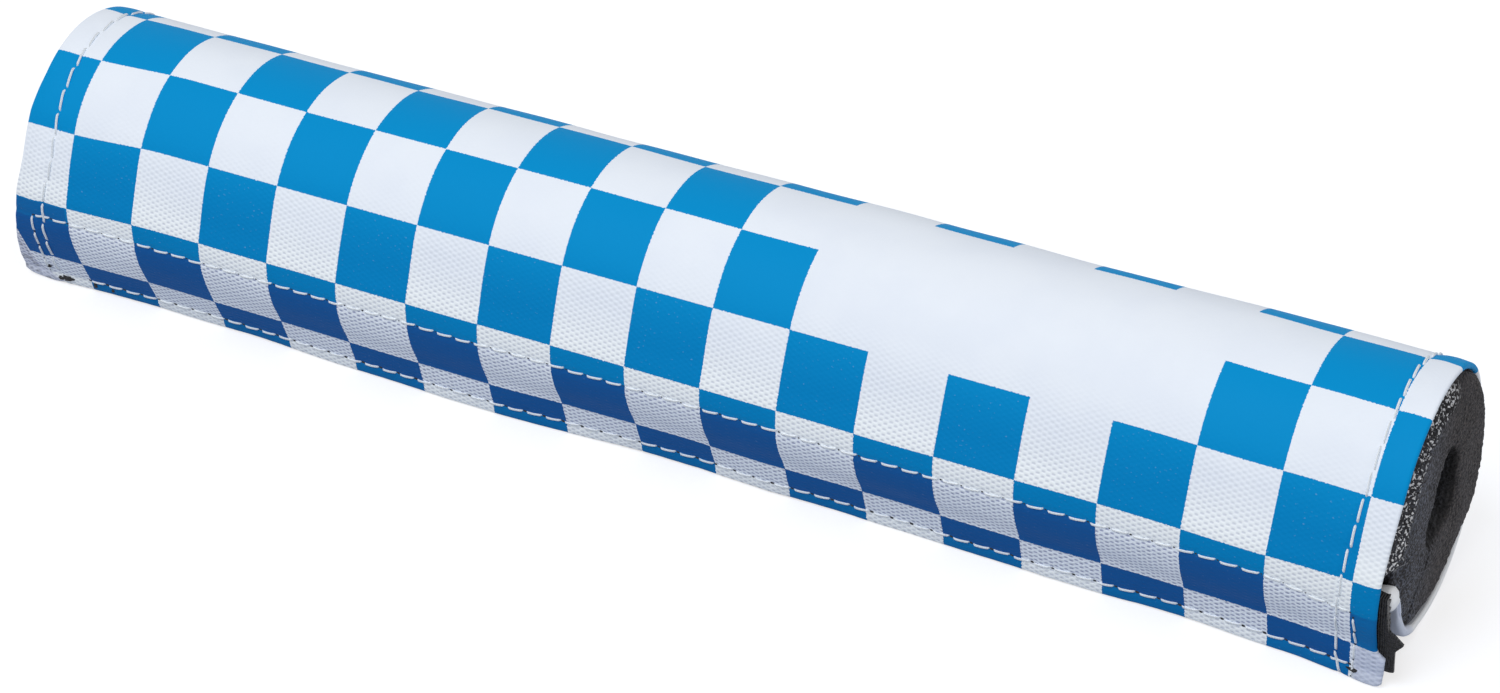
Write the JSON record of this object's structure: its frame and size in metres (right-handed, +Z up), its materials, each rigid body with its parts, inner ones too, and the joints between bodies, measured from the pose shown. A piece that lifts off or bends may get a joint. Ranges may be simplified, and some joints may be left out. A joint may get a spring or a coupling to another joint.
{
  "type": "bmx handlebar pad",
  "caption": "Padded sleeve for a handlebar crossbar: a slit foam tube in a checked cloth wrap that closes along its length with hook and loop tape.",
  "frame": {"origin": "on the surface it lies on, under the middle of its outline", "axes": "+X along the sleeve to the end with the plain panel, +Y to its back, +Z up; the outer flap hangs on the -Y side"},
  "size_m": [0.2334, 0.0406, 0.0404],
  "materials": {
    "foam": "matte black closed-cell foam with open cells on its cut ends",
    "white_cloth": "coated white plain-weave cloth",
    "blue_print": "bright blue print on the cloth",
    "hook_tape": "black woven hook tape",
    "loop_tape": "black brushed loop tape"
  },
  "bodies": {
    "root": {"foam_core": "foam", "cover": "white_cloth", "blue_checks": "blue_print", "hook_tape": "hook_tape", "loop_tape": "loop_tape"}
  },
  "joints": []
}
